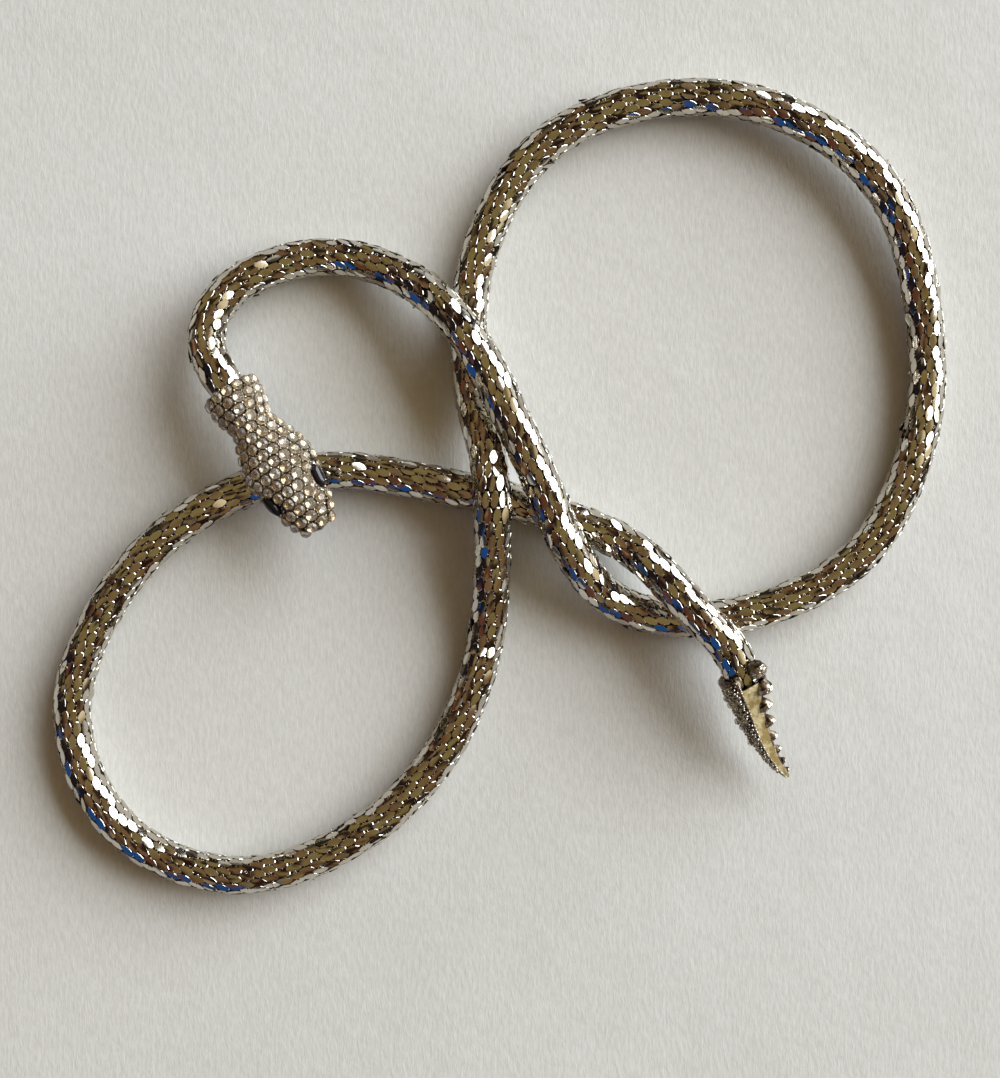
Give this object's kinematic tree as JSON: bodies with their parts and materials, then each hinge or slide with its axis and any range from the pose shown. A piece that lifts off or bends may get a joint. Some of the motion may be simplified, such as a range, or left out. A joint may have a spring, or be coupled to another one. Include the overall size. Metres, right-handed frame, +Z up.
{
  "type": "snake wrap necklace",
  "caption": "Long soft tube of woven metal scales with a stone-set snake head at one end and a pointed stone-set tail at the other, lying on a surface in two open loops.",
  "frame": {"origin": "on the surface that the necklace lies on, at the middle of its box in plan", "axes": "+Z up from the surface, +X along the longer side of the box, towards the outer end of the wide loop"},
  "size_m": [0.2232, 0.2034, 0.0212],
  "materials": {
    "silver_scales": "polished silver plating, slightly warm",
    "dark_setting": "dark brown antique plating",
    "clear_stones": "faceted clear crystal with a champagne tint, foil backed",
    "black_eye": "polished black glass",
    "aged_plating": "worn plating gone cream and yellow on the flat back"
  },
  "bodies": {
    "root": {"mesh_body": "silver_scales", "head_casting": "dark_setting", "head_stones": "clear_stones", "eye_left": "black_eye", "eye_right": "black_eye", "tail_casting": "aged_plating", "tail_stones": "clear_stones"}
  },
  "joints": []
}
